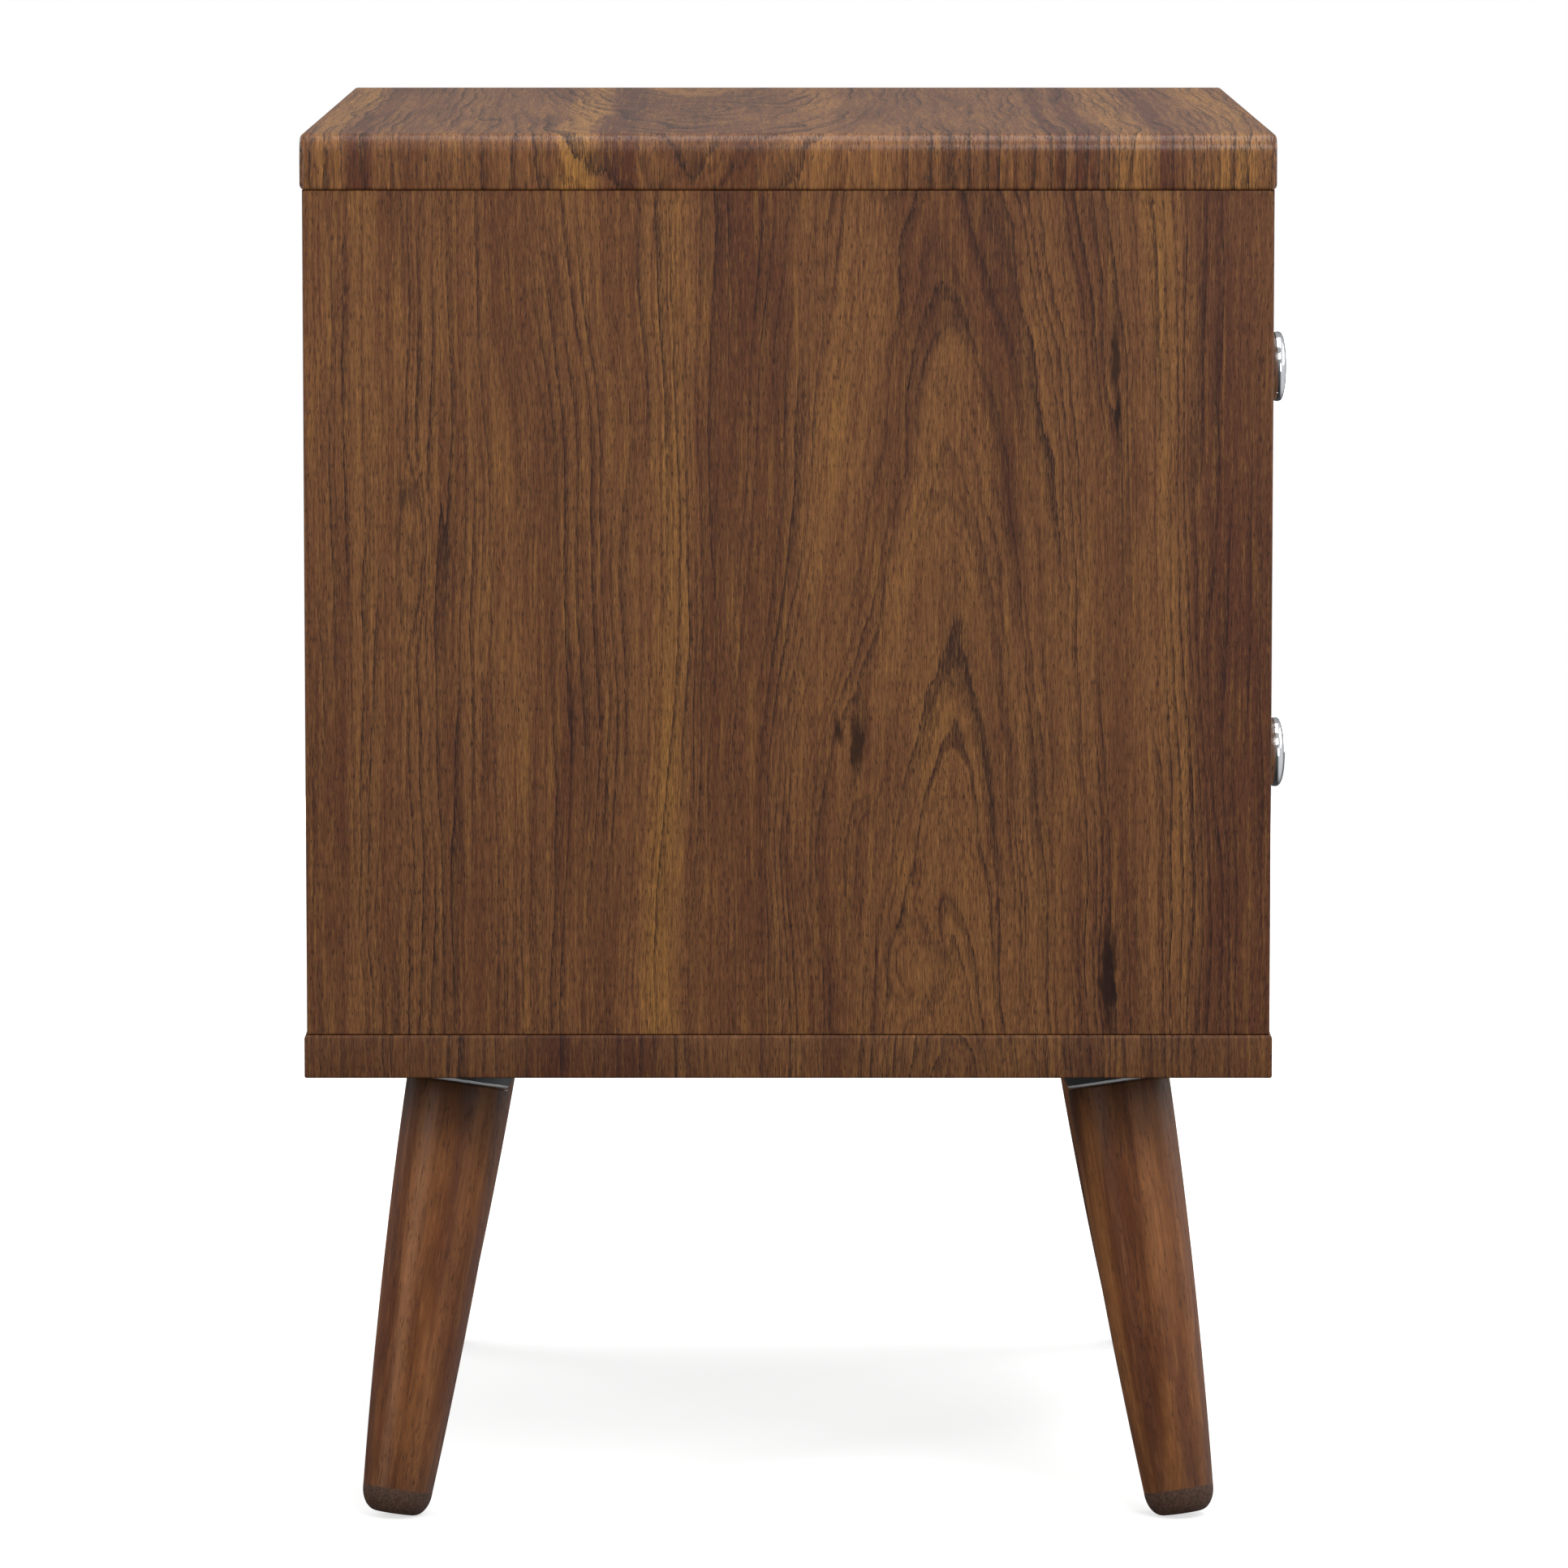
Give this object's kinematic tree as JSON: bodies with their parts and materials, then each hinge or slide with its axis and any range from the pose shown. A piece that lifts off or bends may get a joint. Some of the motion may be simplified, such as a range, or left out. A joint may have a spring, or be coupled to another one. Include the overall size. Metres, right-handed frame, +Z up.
{
  "type": "nightstand with drawers",
  "caption": "Walnut-faced bedside cabinet with stacked drawers on ball-bearing slides, round chrome knobs and splayed, turned legs on angled steel plates.",
  "frame": {"origin": "on the floor, under the middle of the overall box (slabs and knobs together)", "axes": "+Z up; the drawer fronts face -Y and the drawers open along -Y; +X is to the right of someone facing the fronts"},
  "size_m": [0.48, 0.4174, 0.5805],
  "materials": {
    "walnut_laminate": "satin walnut-grain laminate, brown with darker wavy and arched figure and fine dark pores",
    "leg_wood": "satin lacquer over brown-stained turned solid wood, darker on the rounded tip",
    "drawer_board": "smooth pale melamine-faced board",
    "back_board": "matte dark brown printed hardboard",
    "plate_steel": "satin black powder-coated pressed steel, bare at the cut lip",
    "zinc_steel": "bright zinc-plated steel",
    "cage_steel": "dull zinc-plated steel",
    "knob_chrome": "polished chrome plate"
  },
  "bodies": {
    "carcass": {"top_panel": "walnut_laminate", "bottom_panel": "walnut_laminate", "side_panel_left": "walnut_laminate", "side_panel_right": "walnut_laminate", "back_panel": "back_board", "divider_rail": "back_board", "leg_front_left": "leg_wood", "leg_plate_front_left": "plate_steel", "hanger_bolt_front_left": "zinc_steel", "plate_screw_front_left_1": "zinc_steel", "plate_screw_front_left_2": "zinc_steel", "plate_screw_front_left_3": "zinc_steel", "plate_screw_front_left_4": "zinc_steel", "leg_front_right": "leg_wood", "leg_plate_front_right": "plate_steel", "hanger_bolt_front_right": "zinc_steel", "plate_screw_front_right_1": "zinc_steel", "plate_screw_front_right_2": "zinc_steel", "plate_screw_front_right_3": "zinc_steel", "plate_screw_front_right_4": "zinc_steel", "leg_rear_left": "leg_wood", "leg_plate_rear_left": "plate_steel", "hanger_bolt_rear_left": "zinc_steel", "plate_screw_rear_left_1": "zinc_steel", "plate_screw_rear_left_2": "zinc_steel", "plate_screw_rear_left_3": "zinc_steel", "plate_screw_rear_left_4": "zinc_steel", "leg_rear_right": "leg_wood", "leg_plate_rear_right": "plate_steel", "hanger_bolt_rear_right": "zinc_steel", "plate_screw_rear_right_1": "zinc_steel", "plate_screw_rear_right_2": "zinc_steel", "plate_screw_rear_right_3": "zinc_steel", "plate_screw_rear_right_4": "zinc_steel", "upper_cabinet_slide_left": "zinc_steel", "upper_cabinet_slide_right": "zinc_steel", "lower_cabinet_slide_left": "zinc_steel", "lower_cabinet_slide_right": "zinc_steel"},
    "upper_drawer": {"upper_drawer_front": "walnut_laminate", "upper_drawer_back": "drawer_board", "upper_drawer_tray": "drawer_board", "upper_drawer_side_left": "drawer_board", "upper_drawer_side_right": "drawer_board", "upper_knob": "knob_chrome", "upper_knob_screw": "zinc_steel", "upper_drawer_slide_left": "zinc_steel", "upper_drawer_slide_right": "zinc_steel"},
    "lower_drawer": {"lower_drawer_front": "walnut_laminate", "lower_drawer_back": "drawer_board", "lower_drawer_tray": "drawer_board", "lower_drawer_side_left": "drawer_board", "lower_drawer_side_right": "drawer_board", "lower_knob": "knob_chrome", "lower_knob_screw": "zinc_steel", "lower_drawer_slide_left": "zinc_steel", "lower_drawer_slide_right": "zinc_steel"},
    "upper_ball_cages": {"upper_ball_cage_left": "cage_steel", "upper_ball_cage_right": "cage_steel"},
    "lower_ball_cages": {"lower_ball_cage_left": "cage_steel", "lower_ball_cage_right": "cage_steel"}
  },
  "joints": [
    {"name": "upper_drawer_slide", "type": "slide", "parent": "carcass", "child": "upper_drawer", "axis": [0, -1, 0], "range_m": [0, 0.26]},
    {"name": "lower_drawer_slide", "type": "slide", "parent": "carcass", "child": "lower_drawer", "axis": [0, -1, 0], "range_m": [0, 0.26]},
    {"name": "upper_cage_slide", "type": "slide", "parent": "carcass", "child": "upper_ball_cages", "axis": [0, -1, 0], "range_m": [0, 0.13]},
    {"name": "lower_cage_slide", "type": "slide", "parent": "carcass", "child": "lower_ball_cages", "axis": [0, -1, 0], "range_m": [0, 0.13]}
  ],
  "couplings": [
    {"joint": "upper_cage_slide", "follows": "upper_drawer_slide", "ratio": 0.5},
    {"joint": "lower_cage_slide", "follows": "lower_drawer_slide", "ratio": 0.5}
  ]
}
